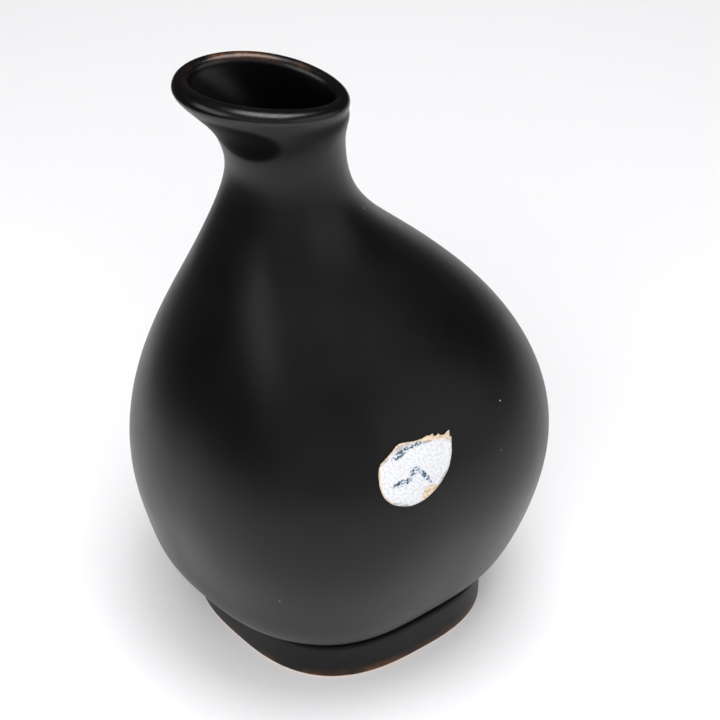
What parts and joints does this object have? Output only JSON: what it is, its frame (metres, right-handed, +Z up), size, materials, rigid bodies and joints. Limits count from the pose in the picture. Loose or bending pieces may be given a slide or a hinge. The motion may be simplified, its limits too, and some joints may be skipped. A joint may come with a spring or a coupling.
{
  "type": "sake bottle",
  "caption": "Squared full-bellied stoneware sake flask with a side-set neck, pinched pouring spout, foot ring and torn paper label.",
  "frame": {"origin": "middle of the foot ring's base, on the surface that the bottle stands on", "axes": "+Z up; the spout points to -X; the label is on the front, -Y, towards +X"},
  "size_m": [0.0959, 0.0958, 0.1375],
  "materials": {
    "body_glaze": "satin black glaze, brown where it thins at the lip",
    "foot_glaze": "satin black glaze over a bare buff clay base",
    "label_backing_paper": "torn fibrous kraft ply",
    "label_face_paper": "matt, scuffed white paper with faded blue-green ink"
  },
  "bodies": {
    "root": {"bottle_body": "body_glaze", "foot_ring": "foot_glaze", "label_backing": "label_backing_paper", "label_face": "label_face_paper"}
  },
  "joints": []
}
